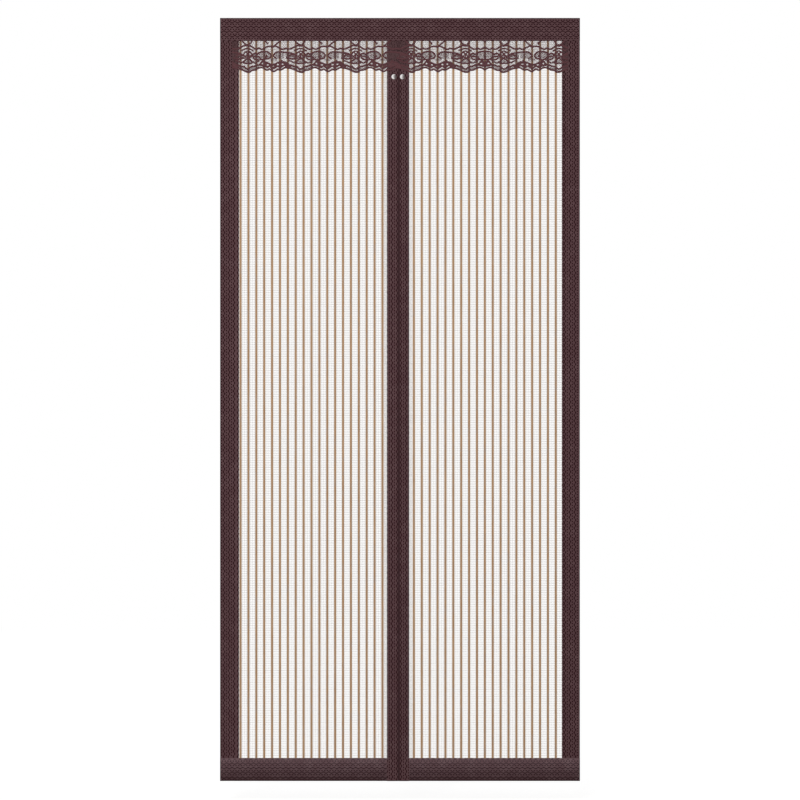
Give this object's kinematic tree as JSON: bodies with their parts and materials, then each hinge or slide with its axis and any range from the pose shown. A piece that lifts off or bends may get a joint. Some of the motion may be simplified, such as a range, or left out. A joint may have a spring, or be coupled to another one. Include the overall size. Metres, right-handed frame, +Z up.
{
  "type": "magnetic insect screen",
  "caption": "Hanging doorway insect screen: striped mesh panels edged with folded webbing, a lace valance on top and magnet strips along the middle split.",
  "frame": {"origin": "middle of the back face of the tape that the top edge hangs from", "axes": "+X to the right as seen from the front, +Y out of the back towards the door frame, +Z up"},
  "size_m": [0.99, 0.0081, 2.1],
  "materials": {
    "striped_mesh": "fine knitted mesh with tan woven stripes",
    "webbing": "woven ribbon in dark brown with a wavy pattern",
    "lace": "corded lace in dark brown",
    "rivet": "bright nickel plate",
    "magnet": "matt flexible magnet",
    "hook_tape": "hook tape in dark brown"
  },
  "bodies": {
    "root": {"mesh_left": "striped_mesh", "mesh_right": "striped_mesh", "top_band": "webbing", "side_band_left": "webbing", "side_band_right": "webbing", "bottom_band_left": "webbing", "bottom_band_right": "webbing", "centre_band_left": "webbing", "centre_band_right": "webbing", "magnet_strip_left": "magnet", "magnet_strip_right": "magnet", "lace_valance": "lace", "rivet_cap_left": "rivet", "rivet_cap_right": "rivet", "rivet_back_left": "rivet", "rivet_back_right": "rivet", "hanging_tape_top": "hook_tape", "hanging_tape_left": "hook_tape", "hanging_tape_right": "hook_tape"}
  },
  "joints": []
}
